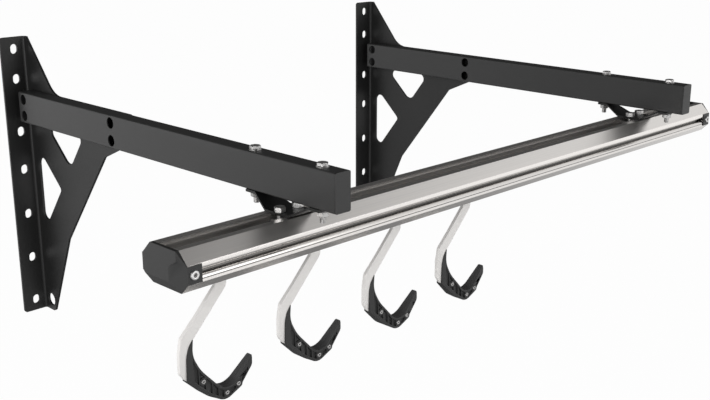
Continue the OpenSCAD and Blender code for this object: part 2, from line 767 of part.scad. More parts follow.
// An end cap for the rail's left end; the right one is its mirror image
module end_cap() {
  ear_out = rail_w / 2 - groove_depth - rail_wall + 0.6 - 0.4;
  difference() {
    side_sheet(-cap_t, cap_t) translate([rail_at, 0]) rail_octagon(0);
    cap_slopes();
  }
  for (s = [-1, 1]) {
    difference() {
      translate([-cap_t, -rail_at + (s > 0 ? rail_w / 2 : -rail_w / 2 - tab_t), rail_side_mid - tab_h / 2])
        cube([cap_t + tab_len, tab_t, tab_h]);
      translate([cap_screw_at, -rail_at + s * rail_w / 2 + 3, rail_side_mid])
        rod_y(cap_screw_d + 0.4, 6);
      cap_slopes();
    }
    difference() {
      translate([0, -rail_at + (s > 0 ? ear_out - cap_ear_t : -ear_out), rail_side_mid - tab_h / 3])
        cube([cap_screw_at + cap_screw_d, cap_ear_t, tab_h * 2 / 3]);
      translate([cap_screw_at, -rail_at + s * (ear_out - cap_ear_t / 2) + cap_ear_t, rail_side_mid])
        rod_y(cap_screw_d + thread_play, 2 * cap_ear_t);
    }
  }
}

module rail_cap(right) {
  color(moulded)
    if (right)
      translate([rail_x1, 0, 0]) mirror([1, 0, 0]) end_cap();
    else
      translate([rail_x0, 0, 0]) end_cap();
}

// A low domed screw with a hexagon socket, its seat at z = 0, its head above
module socket_screw(d, head_d, head_h, length) {
  dome_r = (head_d * head_d / 4 + head_h * head_h) / (2 * head_h);
  difference() {
    union() {
      intersection() {
        cylinder(d = head_d, h = head_h);
        translate([0, 0, head_h - dome_r]) sphere(dome_r, $fn = 96);
      }
      translate([0, 0, -length]) cylinder(d = d, h = length + 0.2);
    }
    translate([0, 0, head_h / 2]) hex(head_d * 0.36, head_h);
  }
}

module cap_screws() {
  reach = tab_t + groove_depth + rail_wall + cap_ear_t - 1;
  color(zinc) for (x = [rail_x0 + cap_screw_at, rail_x1 - cap_screw_at], s = [-1, 1])
    translate([x, -rail_at + s * (rail_w / 2 + tab_t), rail_side_mid])
      rotate([s * -90, 0, 0]) socket_screw(cap_screw_d, cap_screw_head_d, cap_screw_head_h, reach);
}

// A trolley's body: a block with a raised middle, bored for two axles and the swivel pin
module trolley(k) {
  x = hook_xs[k];
  shoulder = trolley_h / 4;
  color(coat) difference() {
    translate([x, 0, 0]) front_sheet(rail_at - trolley_w / 2, trolley_w) soft_polygon([
      [-trolley_len / 2, trolley_low, 2.5],
      [trolley_len / 2, trolley_low, 2.5],
      [trolley_len / 2, trolley_top - shoulder, 4],
      [wheelbase / 4 + 6, trolley_top - shoulder, 1.5],
      [wheelbase / 4 + 4, trolley_top, 1],
      [-wheelbase / 4 - 4, trolley_top, 1],
      [-wheelbase / 4 - 6, trolley_top - shoulder, 1.5],
      [-trolley_len / 2, trolley_top - shoulder, 4]
    ]);
    translate([x, -rail_at, trolley_low - e])
      cylinder(d = pin_d + 2 * run_clear, h = trolley_h + 2 * e);
    for (s = [-1, 1])
      translate([x + s * wheelbase / 2, -rail_at + trolley_w, axle_z])
        rod_y(axle_d + 0.02, 2 * trolley_w);
  }
}

// The two axles of a trolley, with a riveted head at each end
module axles(k) {
  color(zinc) for (s = [-1, 1])
    translate([hook_xs[k] + s * wheelbase / 2, -rail_at + axle_len / 2, axle_z]) {
      rod_y(axle_d, axle_len);
      for (y = [0, 1.6 - axle_len])
        translate([0, y, 0]) rod_y(axle_d + 2.4, 1.6);
    }
}

// A pair of wheels on one axle, with a groove round the tread and a recessed hub
module wheel_pair(k, s) {
  color(nylon) for (side = [-1, 1])
    translate([hook_xs[k] + s * wheelbase / 2, -rail_at + side * wheel_in, axle_z])
      rotate([side * -90, 0, 0])
        rotate_extrude($fn = 96) polygon([
          [axle_d / 2 + run_clear, 0], [wheel_d / 2 - 0.8, 0], [wheel_d / 2, 0.8],
          [wheel_d / 2, wheel_w - 0.8], [wheel_d / 2 - 0.8, wheel_w],
          [wheel_d / 2 - 3, wheel_w], [wheel_d / 2 - 3.5, wheel_w - 1.5],
          [axle_d / 2 + 2.5, wheel_w - 1.5], [axle_d / 2 + 2, wheel_w],
          [axle_d / 2 + run_clear, wheel_w]
        ]);
}

// The swivel pin: a flat head over the trolley, a plain shank and a fork for the hook plate
module swivel_pin(k) {
  head_z = trolley_top + slide_gap;
  color(zinc) translate([hook_xs[k], -rail_at, 0]) difference() {
    union() {
      translate([0, 0, pin_low]) cylinder(d = pin_d, h = head_z - pin_low + e);
      translate([0, 0, head_z]) cylinder(d = pin_head_d, h = pin_head_h);
    }
    translate([-pin_d, -plate_t / 2, pin_low - e]) cube([2 * pin_d, plate_t, fork_h + e]);
  }
}

// Outline of the hook plate from the side, from the swivel axis and the bowl's lowest point
function plate_path() =
  let (
    bend_z = plate_top - stem_h - bowl_z,
    core = inset(cradle_path, [for (p = cradle_path) cradle_rim]),
    root = cradle_path[3],
    back = root[0] - plate_back_w
  )
  [
    [stem_w / 2, plate_top - bowl_z, 0],
    [-stem_w / 2, plate_top - bowl_z, 0],
    [-stem_w / 2, bend_z + 1.6, 12],
    [-38, bend_z - 30.4, 60],
    [back + 3.4, bend_z - 53, 6],
    [back, bend_z - 72, 20],
    [back, root[1] + 12.2, 6],
    [root[0] - 1.3, root[1] + 2.9, 1.5],
    core[4], core[5], core[6], core[7], core[8], core[9], core[10], core[11], core[12],
    [-47, bend_z - 61.2, 3],
    [stem_w / 2, bend_z - 3.5, 10]
  ];

module hook_plate(k) {
  color(plate_paint) difference() {
    translate([hook_xs[k], 0, bowl_z]) front_sheet(rail_at - plate_t / 2, plate_t)
      soft_polygon(plate_path());
    for (p = cradle_screws_at)
      translate([hook_xs[k] + p[0], -rail_at + plate_t, bowl_z + p[1]])
        rod_y(cradle_screw_d + 0.4, 2 * plate_t);
  }
}

// Half the cradle's width at a point of its outline, where its sides slope
function half_width(p) =
  let (
    to_tip = (p[0] - tip_slope_from[0] + p[1] - tip_slope_from[1]) / sqrt(2),
    to_horn = (horn_slope_from[0] - p[0] + p[1] - horn_slope_from[1]) / sqrt(2)
  )
  cradle_w / 2 - max(0, to_tip * tip_slope, to_horn * horn_slope);

// What lies outside one sloping side: it starts at a point and sinks along a direction
module slope_cut(from, angle, slope, depth) {
  reach = 2 * hook_drop;
  translate([from[0], depth - cradle_w / 2, from[1]])
    rotate([0, -angle, 0]) rotate([0, 0, atan(slope)])
      translate([0, -cradle_w, -reach / 2]) cube([reach, cradle_w, reach]);
}

// A slab of the given outline, sloping at both ends, its side sunk by a depth
module sloped(depth) {
  difference() {
    front_sheet(-depth, cradle_w / 2) children();
    slope_cut(tip_slope_from, 45, tip_slope, depth);
    slope_cut(horn_slope_from, 135, horn_slope, depth);
  }
}

// The relief in a cradle's side, left clear of the rim, the ribs and the screw bosses
module relief() {
  difference() {
    intersection() {
      soft_polygon(inset(cradle_path, relief_margins));
      translate([-relief_back, -40]) square([relief_back + relief_front, 120]);
    }
    for (p = cradle_screws_at)
      translate(p) circle(d = cradle_screw_head_d + 3.6);
    for (x = [-rib_back:rib_pitch:relief_front])
      translate([x - rib_t / 2, -50]) square([rib_t, 140]);
  }
}

// Half of a cradle, drawn outwards from the plate's middle plane along -Y
module cradle_half() {
  t = cradle_w / 2;
  difference() {
    sloped(0) soft_polygon(cradle_path);
    front_sheet(-e, plate_t / 2 + e) soft_polygon(plate_path());
    difference() {
      front_sheet(plate_t / 2 + cradle_rim, t) relief();
      sloped(relief_t) translate([-100, -100]) square(250);
    }
    for (p = cradle_screws_at) {
      seat = half_width(p) - 1;
      translate([p[0], e, p[1]]) rod_y(cradle_screw_d + thread_play, t + 2 * e);
      translate([p[0], -seat, p[1]]) rod_y(cradle_screw_head_d + 0.4, t);
    }
  }
}

module cradle(k, back) {
  color(moulded) translate([hook_xs[k], -rail_at, bowl_z])
    if (back)
      mirror([0, 1, 0]) cradle_half();
    else
      cradle_half();
}

// The cradle's three screws, each held by a flat head at the back
module cradle_screws(k) {
  color(zinc) for (p = cradle_screws_at) {
    seat = half_width(p) - 1;
    translate([hook_xs[k] + p[0], -rail_at, bowl_z + p[1]]) {
      translate([0, -seat, 0]) rotate([90, 0, 0])
        socket_screw(cradle_screw_d, cradle_screw_head_d, cradle_screw_head_h, 2 * seat);
      translate([0, seat, 0]) rotate([-90, 0, 0])
        cylinder(d = cradle_screw_head_d, h = cradle_screw_head_h / 2);
    }
  }
}

bracket(0);  // bracket_left
bracket(bracket_pitch);  // bracket_right
arm(0);  // arm_left
arm(bracket_pitch);  // arm_right
arm_plug(0);  // arm_plug_left
arm_plug(bracket_pitch);  // arm_plug_right
arm_bolts(0);  // arm_bolts_left
arm_bolts(bracket_pitch);  // arm_bolts_right
arm_nuts(0);  // arm_nuts_left
arm_nuts(bracket_pitch);  // arm_nuts_right
hanger(0);  // hanger_left
hanger(bracket_pitch);  // hanger_right
hanger_bolts();
hanger_nuts();
clamp_bolts();
clamp_plates();
rail();
rail_cap(false);  // rail_cap_left
rail_cap(true);  // rail_cap_right
cap_screws();
trolley(0);  // trolley_1
axles(0);  // axles_1
wheel_pair(0, 1);  // wheels_front_1
wheel_pair(0, -1);  // wheels_rear_1
swivel_pin(0);  // swivel_pin_1
hook_plate(0);  // hook_plate_1
cradle(0, false);  // cradle_front_1
cradle(0, true);  // cradle_back_1
cradle_screws(0);  // cradle_screws_1
trolley(1);  // trolley_2
axles(1);  // axles_2
wheel_pair(1, 1);  // wheels_front_2
wheel_pair(1, -1);  // wheels_rear_2
swivel_pin(1);  // swivel_pin_2
hook_plate(1);  // hook_plate_2
cradle(1, false);  // cradle_front_2
cradle(1, true);  // cradle_back_2
cradle_screws(1);  // cradle_screws_2
trolley(2);  // trolley_3
axles(2);  // axles_3
wheel_pair(2, 1);  // wheels_front_3
wheel_pair(2, -1);  // wheels_rear_3
swivel_pin(2);  // swivel_pin_3
hook_plate(2);  // hook_plate_3
cradle(2, false);  // cradle_front_3
cradle(2, true);  // cradle_back_3
cradle_screws(2);  // cradle_screws_3
trolley(3);  // trolley_4
axles(3);  // axles_4
wheel_pair(3, 1);  // wheels_front_4
wheel_pair(3, -1);  // wheels_rear_4
swivel_pin(3);  // swivel_pin_4
hook_plate(3);  // hook_plate_4
cradle(3, false);  // cradle_front_4
cradle(3, true);  // cradle_back_4
cradle_screws(3);  // cradle_screws_4
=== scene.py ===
"""Wall-mounted bike rack: two steel wall brackets, two arms, an aluminium rail and four hooks.

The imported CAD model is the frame. The pieces here take its places and sizes, in metres, and
add softened edges, threads, sockets, rounded tips and the finishes of the real parts.
"""

from __future__ import annotations

import logging
import math
from abc import ABC, abstractmethod
from dataclasses import dataclass, field
from enum import Enum
from typing import Any, Callable, Sequence

import bmesh
import bpy
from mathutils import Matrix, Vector


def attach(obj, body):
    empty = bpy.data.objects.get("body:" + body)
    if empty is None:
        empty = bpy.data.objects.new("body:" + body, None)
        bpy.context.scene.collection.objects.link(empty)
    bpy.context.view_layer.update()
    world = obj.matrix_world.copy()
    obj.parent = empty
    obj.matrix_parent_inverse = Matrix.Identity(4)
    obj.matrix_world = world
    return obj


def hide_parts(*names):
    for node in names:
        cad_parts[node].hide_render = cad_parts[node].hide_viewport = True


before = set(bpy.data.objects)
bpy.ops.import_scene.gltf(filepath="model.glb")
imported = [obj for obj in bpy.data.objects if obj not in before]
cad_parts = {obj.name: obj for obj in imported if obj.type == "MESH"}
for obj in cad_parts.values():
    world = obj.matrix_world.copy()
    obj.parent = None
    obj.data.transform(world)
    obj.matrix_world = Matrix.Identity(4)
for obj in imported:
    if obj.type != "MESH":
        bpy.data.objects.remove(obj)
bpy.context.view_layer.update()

log = logging.getLogger("bike_rack")

Triple = tuple[float, float, float]
Colour = tuple[float, float, float, float]

RAIL_Y = -0.6647  # the rail's middle, out from the wall
GROOVE_Z = 0.055  # the grooves in the rail's sides
THREAD_PITCH = 0.00125
HOOKS = 4
TURNED_SHARP = 28.0  # degrees from which the edges of turned pieces stay sharp
BENT_SHARP = 32.0  # degrees from which the edges of CAD pieces are softened


class Side(Enum):
    """The two brackets, by the place of each along the wall."""

    LEFT = 0.0
    RIGHT = 0.813

    @property
    def word(self) -> str:
        """The side's word in the names of nodes and pieces."""
        return self.name.lower()


class Half(Enum):
    """The two halves of a cradle: the one towards the room and the one towards the wall."""

    FRONT = "front"
    BACK = "back"


# Node graphs


class Number:
    """A number socket of a node graph; Python's operators add the Math nodes."""

    def __init__(self, graph: Graph, socket: bpy.types.NodeSocket) -> None:
        """Wraps a socket.

        Args:
            graph: The graph that the socket belongs to.
            socket: The output socket that carries the number.
        """
        self.graph = graph
        self.socket = socket

    def math(self, operation: str, *others: Any) -> Number:
        """Adds a Math node that starts from this number.

        Args:
            operation: The Math node's operation.
            others: The second and third values, each a number or a Number.

        Returns:
            The result.
        """
        return self.graph.math(operation, self, *others)

    def __add__(self, other: Any) -> Number:
        """This number plus another."""
        return self.math("ADD", other)

    def __radd__(self, other: Any) -> Number:
        """Another number plus this one."""
        return self.graph.math("ADD", other, self)

    def __sub__(self, other: Any) -> Number:
        """This number minus another."""
        return self.math("SUBTRACT", other)

    def __rsub__(self, other: Any) -> Number:
        """Another number minus this one."""
        return self.graph.math("SUBTRACT", other, self)

    def __mul__(self, other: Any) -> Number:
        """This number times another."""
        return self.math("MULTIPLY", other)

    def __rmul__(self, other: Any) -> Number:
        """Another number times this one."""
        return self.graph.math("MULTIPLY", other, self)

    def __truediv__(self, other: Any) -> Number:
        """This number divided by another."""
        return self.math("DIVIDE", other)

    def __mod__(self, other: Any) -> Number:
        """The remainder, never negative, of this number by another."""
        return self.math("FLOORED_MODULO", other)


class Graph:
    """Adds nodes to a shader tree or a Geometry Nodes tree."""

    def __init__(self, tree: bpy.types.NodeTree) -> None:
        """Takes the tree that the nodes go into.

        Args:
            tree: A material's, a world's or a modifier's node tree.
        """
        self.tree = tree

    @classmethod
    def fresh(cls, owner: bpy.types.Material | bpy.types.World) -> Graph:
        """Empties the node tree of a material or a world.

        Args:
            owner: The material or the world.

        Returns:
            Its graph.
        """
        owner.use_nodes = True
        owner.node_tree.nodes.clear()
        return cls(owner.node_tree)

    def add(
        self,
        kind: str,
        settings: dict[str, Any] | None = None,
        inputs: dict[Any, Any] | None = None,
    ) -> bpy.types.Node:
        """Adds one node, sets it and feeds it.

        Args:
            kind: The node's type.
            settings: Its properties, set first.
            inputs: Values, sockets or Numbers by socket name or index.

        Returns:
            The node.
        """
        node = self.tree.nodes.new(kind)
        for key, value in (settings or {}).items():
            setattr(node, key, value)
        for key, value in (inputs or {}).items():
            self.feed(node.inputs[key], value)
        return node

    def feed(self, socket: bpy.types.NodeSocket, value: Any) -> None:
        """Links a socket or sets its own value.

        Args:
            socket: The input to feed.
            value: A Number, an output socket or a plain value.
        """
        if isinstance(value, Number):
            value = value.socket
        if isinstance(value, bpy.types.NodeSocket):
            self.tree.links.new(value, socket)
        else:
            socket.default_value = value

    def place(self) -> bpy.types.NodeSocket:
        """The object's own coordinates."""
        return self.add("ShaderNodeTexCoord").outputs["Object"]

    def number(self, node: bpy.types.Node, output: Any = 0) -> Number:
        """Wraps one of a node's outputs."""
        return Number(self, node.outputs[output])

    def math(self, operation: str, *values: Any) -> Number:
        """Adds a Math node.

        Args:
            operation: Its operation.
            values: Its inputs in order.

        Returns:
            The result.
        """
        node = self.add("ShaderNodeMath", {"operation": operation}, dict(enumerate(values)))
        return self.number(node)

    def rise(self, value: Number, low: float, high: float) -> Number:
        """A smooth step of a value: 0 at the first limit and 1 at the second.

        Args:
            value: The value.
            low: Where the step is 0.
            high: Where the step is 1, on either side of the first.

        Returns:
            The step.
        """
        node = self.add(
            "ShaderNodeMapRange",
            {"interpolation_type": "SMOOTHSTEP"},
            {"Value": value, "From Min": low, "From Max": high},
        )
        return self.number(node)

    def blend(self, factor: Any, low: Any, high: Any) -> bpy.types.NodeSocket:
        """Mixes two colours.

        Args:
            factor: Share of the second colour.
            low: The first colour, plain or linked.
            high: The second colour, plain or linked.

        Returns:
            The mixed colour's socket.
        """
        node = self.add("ShaderNodeMix", {"data_type": "RGBA"}, {0: factor, 6: low, 7: high})
        return node.outputs[2]

    def noise(self, scale: float, detail: float, stretch: Triple | None = None) -> Number:
        """Adds a noise pattern that stays with the object.

        Args:
            scale: Waves per metre.
            detail: Finer octaves.
            stretch: How much finer the pattern is along each axis.

        Returns:
            The pattern, about 0.5 on average.
        """
        place = self.place()
        if stretch:
            place = self.add("ShaderNodeMapping", inputs={0: place, 3: stretch}).outputs[0]
        inputs = {"Vector": place, "Scale": scale, "Detail": detail}
        return self.number(self.add("ShaderNodeTexNoise", inputs=inputs))


# Finishes

Recipe = tuple[dict[str, Any], Number, float]


def grey(level: float, warmth: float = 0.0) -> Colour:
    """A grey of a linear level, warmer as the second number grows."""
    return (level * (1 + warmth), level, level * (1 - warmth), 1.0)


@dataclass(frozen=True)
class Finish(ABC):
    """What every finish shares: a name, and one shader with a fine relief."""

    name: str

    def material(self) -> bpy.types.Material:
        """Makes the material.

        Returns:
            The material.
        """
        material = bpy.data.materials.new(self.name)
        graph = Graph.fresh(material)
        values, height, depth = self.recipe(graph)
        bump = graph.add("ShaderNodeBump", inputs={"Distance": depth, "Height": height})
        values["Normal"] = bump.outputs[0]
        shader = graph.add("ShaderNodeBsdfPrincipled", inputs=values)
        graph.add("ShaderNodeOutputMaterial", inputs={"Surface": shader.outputs[0]})
        return material

    @abstractmethod
    def recipe(self, graph: Graph) -> Recipe:
        """Gives the look that is the finish's own.

        Args:
            graph: The material's graph.

        Returns:
            The shader's inputs by name, the relief's pattern and its depth in metres.
        """


@dataclass(frozen=True)
class PowderCoat(Finish):
    """Satin powder coat with orange peel and a slightly uneven gloss."""

    tone: float
    roughness: float = 0.44

    def recipe(self, graph: Graph) -> Recipe:
        """Mottles the tone and the gloss.

        Args:
            graph: The material's graph.

        Returns:
            The shader's inputs, the relief and its depth.
        """
        broad = graph.noise(9.0, 3.0)
        peel = graph.noise(620.0, 2.0)
        speck = graph.noise(2600.0, 1.0)
        tone = graph.blend(broad * 0.6 + speck * 0.4, grey(self.tone * 0.82), grey(self.tone * 1.2))
        rough = self.roughness + (broad - 0.5) * 0.14 + (peel - 0.5) * 0.2
        values = {"Base Color": tone, "Roughness": rough, "Specular IOR Level": 0.35}
        return values, peel * 0.8 + speck * 0.2, 0.00009


@dataclass(frozen=True)
class ZincPlate(Finish):
    """Bright zinc plating with cloudy patches and fine turning marks."""

    tone: float = 0.66

    def recipe(self, graph: Graph) -> Recipe:
        """Clouds the metal.

        Args:
            graph: The material's graph.

        Returns:
            The shader's inputs, the relief and its depth.
        """
        cloud = graph.noise(160.0, 4.0)
        fine = graph.noise(3000.0, 2.0)
        tone = graph.blend(cloud, grey(self.tone * 0.78, 0.01), grey(self.tone * 1.15, 0.015))
        rough = 0.3 + cloud * 0.2 + fine * 0.06
        return {"Base Color": tone, "Roughness": rough, "Metallic": 1.0}, fine, 0.00002


@dataclass(frozen=True)
class Anodised(Finish):
    """Satin anodised aluminium with the die's fine lines, and painted shade: darker below the grooves,
    in the grooves, along a side line and inside the channel.
    """

    tone: float = 0.84
    middle: float = RAIL_Y
    groove_bottom: float = 0.0344
    groove_height: float = GROOVE_Z
    groove_half: float = 0.0026
    channel_half: float = 0.0145
    line_height: float = 0.0476
    line_half: float = 0.0005
    bevel_from: float = 0.0665
    # painted shade: how much darker the rail is painted in each place
    groove_painted_shade: float = 0.82
    channel_painted_shade: float = 0.42
    line_painted_shade: float = 0.8
    lower_painted_shade: float = 0.13
    inside_rough: float = 0.22
    bevel_rough: float = 0.1

    def recipe(self, graph: Graph) -> Recipe:
        """Draws the lines, and paints shade on the rail by the place across it and its height.

        Args:
            graph: The material's graph.

        Returns:
            The shader's inputs, the relief and its depth.
        """
        lines = graph.noise(1.0, 3.0, (1.5, 420.0, 420.0))
        fine = graph.noise(1.0, 2.0, (12.0, 2600.0, 2600.0))
        etch = graph.noise(1800.0, 2.0)
        spot = graph.add("ShaderNodeSeparateXYZ", inputs={0: graph.place()})
        height = graph.number(spot, 2)
        aside = (graph.number(spot, 1) - self.middle).math("ABSOLUTE")
        off_groove = (height - self.groove_height).math("ABSOLUTE")
        outer = aside.math("LESS_THAN", self.groove_bottom)
        deep = outer * off_groove.math("LESS_THAN", self.groove_half)
        inside = aside.math("LESS_THAN", self.channel_half)
        line = (height - self.line_height).math("ABSOLUTE").math("LESS_THAN", self.line_half)
        below = height.math("LESS_THAN", self.groove_height)
        upper = height.math("GREATER_THAN", self.bevel_from)
        # painted shade: groove bottoms, channel, side line and lower part are painted darker
        painted_shade = (deep * self.groove_painted_shade).math("MAXIMUM", inside * self.channel_painted_shade)
        painted_shade = painted_shade.math("MAXIMUM", line * self.line_painted_shade).math("MAXIMUM", below * self.lower_painted_shade)
        tone = graph.blend(lines, grey(self.tone * 0.92, 0.03), grey(self.tone * 1.08, 0.038))
        # the painted shade pulls the tone towards a near black
        tone = graph.blend(1.0 - painted_shade, grey(0.01), tone)
        extra = (inside * self.inside_rough).math("MAXIMUM", upper * self.bevel_rough)
        rough = 0.15 + lines * 0.07 + fine * 0.05 + etch * 0.04 + extra
        values = {"Base Color": tone, "Roughness": rough, "Metallic": 1.0}
        return values, lines * 0.5 + fine * 0.35 + etch * 0.15, 0.00005


@dataclass(frozen=True)
class MouldedPlastic(Finish):
    """Black moulded plastic with a fine spark-eroded grain and slight flow marks."""

    tone: float
    roughness: float

    def recipe(self, graph: Graph) -> Recipe:
        """Adds the flow marks and the grain.

        Args:
            graph: The material's graph.

        Returns:
            The shader's inputs, the relief and its depth.
        """
        flow = graph.noise(35.0, 3.0, (1.0, 1.0, 0.5))
        grain = graph.noise(1700.0, 3.0)
        tone = graph.blend(flow, grey(self.tone * 0.8), grey(self.tone * 1.25))
        rough = self.roughness + (flow - 0.5) * 0.16 + (grain - 0.5) * 0.2
        values = {"Base Color": tone, "Roughness": rough, "Specular IOR Level": 0.42}
        return values, grain, 0.00007


@dataclass(frozen=True)
class PlatePaint(Finish):
    """Warm light grey lacquer on the hooks' steel plates."""

    tone: float = 0.82

    def recipe(self, graph: Graph) -> Recipe:
        """Adds the rubbed patches and the orange peel.

        Args:
            graph: The material's graph.

        Returns:
            The shader's inputs, the relief and its depth.
        """
        broad = graph.noise(12.0, 3.0)
        peel = graph.noise(420.0, 2.0)
        rub = graph.noise(60.0, 6.0, (1.0, 1.0, 0.25))
        wear = broad * 0.7 + rub * 0.3
        tone = graph.blend(wear, grey(self.tone * 0.93, 0.03), grey(self.tone * 1.06, 0.02))
        rough = 0.3 + rub * 0.12 + (peel - 0.5) * 0.1
        return {"Base Color": tone, "Roughness": rough, "Coat Weight": 0.15}, peel, 0.00006


@dataclass(frozen=True)
class Nylon(Finish):
    """Natural nylon with a dull turned surface."""

    tone: float = 0.62

    def recipe(self, graph: Graph) -> Recipe:
        """Adds the turning rings.

        Args:
            graph: The material's graph.

        Returns:
            The shader's inputs, the relief and its depth.
        """
        cloud = graph.noise(90.0, 3.0)
        rings = graph.noise(1.0, 1.0, (300.0, 2400.0, 300.0))
        tone = graph.blend(cloud, grey(self.tone * 0.92, 0.04), grey(self.tone * 1.05, 0.06))
        return {"Base Color": tone, "Roughness": 0.4 + rings * 0.15}, rings, 0.00004


def made(kind: type[Finish], *values: Any) -> Any:
    """A dataclass field that holds one finish's material."""
    return field(default_factory=lambda: kind(*values).material())


@dataclass
class Finishes:
    """Every finish of the rack, made once."""

    coat: bpy.types.Material = made(PowderCoat, "powder_coat", 0.012)
    tube_coat: bpy.types.Material = made(PowderCoat, "powder_coat_tube", 0.029, 0.4)
    strap_coat: bpy.types.Material = made(PowderCoat, "powder_coat_strap", 0.008, 0.46)
    zinc: bpy.types.Material = made(ZincPlate, "zinc_plate")
    # a darker copy of the zinc plating; on the nuts under the arms it is painted shade
    steel: bpy.types.Material = made(ZincPlate, "dull_steel", 0.4)
    alloy: bpy.types.Material = made(Anodised, "anodised_alloy")
    cap: bpy.types.Material = made(MouldedPlastic, "moulded_cap", 0.019, 0.42)
    cradle: bpy.types.Material = made(MouldedPlastic, "moulded_cradle", 0.015, 0.46)
    # painted light: a paler copy of the cradle plastic for the bed's up-facing faces
    bed: bpy.types.Material = made(MouldedPlastic, "rubbed_bed", 0.058, 0.5)
    paint: bpy.types.Material = made(PlatePaint, "plate_paint")
    nylon: bpy.types.Material = made(Nylon, "nylon")


# Meshes


def shown(name: str, data: bpy.types.ID) -> bpy.types.Object:
    """Puts a new object into the scene.

    Args:
        name: Its name.
        data: Its mesh, light or camera.

    Returns:
        The object.
    """
    piece = bpy.data.objects.new(name, data)
    bpy.context.scene.collection.objects.link(piece)
    return piece


def settle(piece: bpy.types.Object) -> None:
    """Merges a mesh's seams, turns its faces outwards and sets what is smooth.

    Args:
        piece: The mesh object.
    """
    work = bmesh.new()
    work.from_mesh(piece.data)
    bmesh.ops.remove_doubles(work, verts=work.verts, dist=1e-6)
    bmesh.ops.recalc_face_normals(work, faces=work.faces)
    work.to_mesh(piece.data)
    work.free()
    piece.data.shade_smooth()
    piece.data.set_sharp_from_angle(angle=math.radians(TURNED_SHARP))


def finished(piece: bpy.types.Object, name: str, material: bpy.types.Material) -> bpy.types.Object:
    """Turns an object with modifiers into a plain mesh object.

    Args:
        piece: The object with its modifiers.
        name: The finished piece's name.
        material: Its finish.

    Returns:
        The finished piece, at the origin.
    """
    bpy.context.view_layer.update()
    mesh = bpy.data.meshes.new_from_object(piece.evaluated_get(bpy.context.evaluated_depsgraph_get()))
    bpy.data.objects.remove(piece)
    mesh.name = name
    mesh.materials.clear()
    mesh.materials.append(material)
    return shown(name, mesh)


def softened(
    node: str,
    name: str,
    material: bpy.types.Material,
    edge: float = 0.0004,
    shape: Callable[[bmesh.types.BMesh], None] | None = None,
    clamp: bool = True,
) -> bpy.types.Object:
    """Copies a CAD node, joins its triangles into flat faces and softens its edges.

    Args:
        node: The CAD node.
        name: The piece's name.
        material: Its finish.
        edge: Width of the softened edges in metres.
        shape: Changes the mesh's form before its edges are softened.
        clamp: Whether the piece's shortest edges narrow the softened ones.

    Returns:
        The piece, as a plain mesh object.
    """
    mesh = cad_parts[node].data.copy()
    work = bmesh.new()
    work.from_mesh(mesh)
    bmesh.ops.remove_doubles(work, verts=work.verts, dist=2e-6)
    bmesh.ops.dissolve_limit(
        work, angle_limit=math.radians(0.4), verts=work.verts, edges=work.edges, delimit=set()
    )
    if shape is not None:
        shape(work)
    for face in work.faces:
        face.smooth = True
    work.to_mesh(mesh)
    work.free()
    sharp = math.radians(BENT_SHARP)
    mesh.set_sharp_from_angle(angle=sharp)
    piece = shown(name + "_work", mesh)
    bevel = piece.modifiers.new("edges", "BEVEL")
    bevel.width = edge
    bevel.segments = 2
    bevel.limit_method = "ANGLE"
    bevel.angle_limit = sharp
    bevel.harden_normals = True
    bevel.use_clamp_overlap = clamp
    return finished(piece, name, material)


@dataclass(frozen=True)
class Row:
    """One ring of a turned piece.

    A hexed row is cut to the piece's hexagon, and a threaded one follows its thread.
    """

    radius: float
    height: float
    hexed: float = 0.0
    threaded: float = 0.0


@dataclass(frozen=True)
class Place:
    """Where a turned piece stands, and its turn in degrees about X, Y and Z."""

    at: Triple
    turn: Triple = (0.0, 0.0, 0.0)


